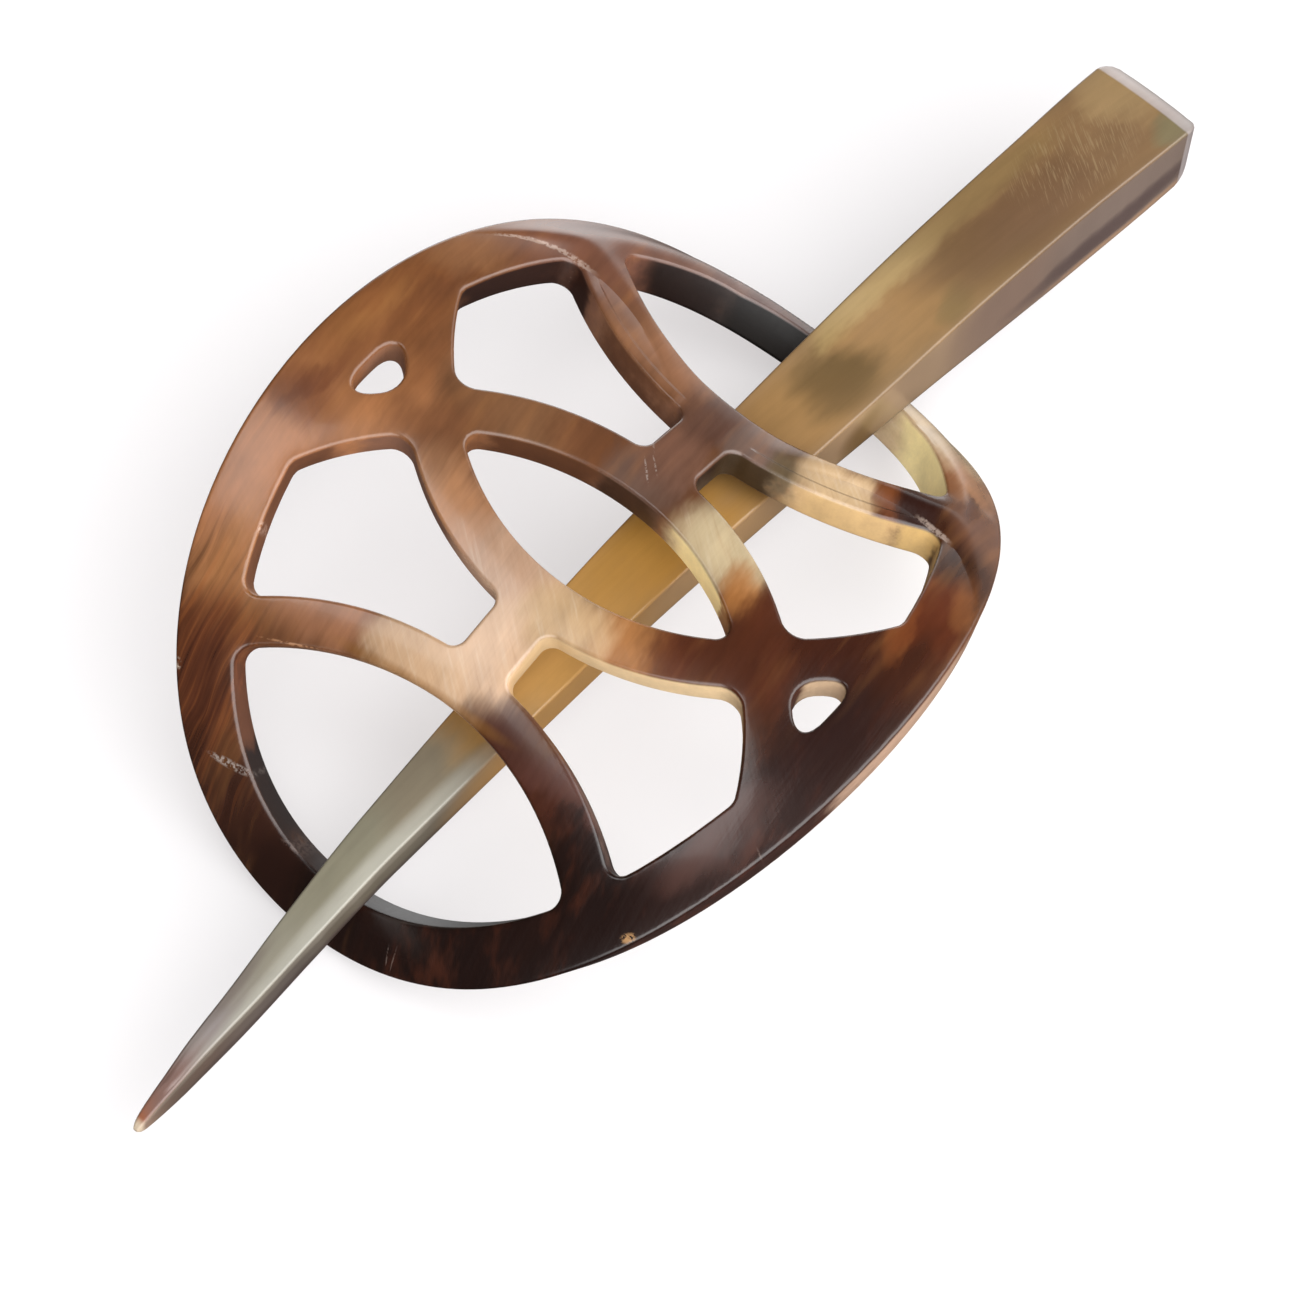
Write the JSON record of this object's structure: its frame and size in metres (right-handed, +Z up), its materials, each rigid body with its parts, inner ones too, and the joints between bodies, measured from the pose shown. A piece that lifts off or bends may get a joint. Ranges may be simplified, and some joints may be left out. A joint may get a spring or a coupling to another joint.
{
  "type": "pierced hair slide with stick",
  "caption": "Arched oval hair slide of glossy pierced horn, cut as a net of crossing curves, with the straight tapering stick that passes under its arch and pins it.",
  "frame": {"origin": "on the ground, under the middle of the bounding box", "axes": "+X along the arch toward the butt of the stick, +Y across the arch, +Z up"},
  "size_m": [0.1586, 0.0748, 0.0248],
  "materials": {
    "plate_horn": "polished mottled brown horn with cream streaks",
    "stick_horn": "polished translucent olive horn with smoky clouds"
  },
  "bodies": {
    "plate": {"plate": "plate_horn"},
    "stick": {"stick": "stick_horn"}
  },
  "joints": [
    {"name": "stick_slide", "type": "slide", "parent": "plate", "child": "stick", "axis": [0.9996, -0.02, 0.0204], "range_m": [0, 0.125]}
  ]
}
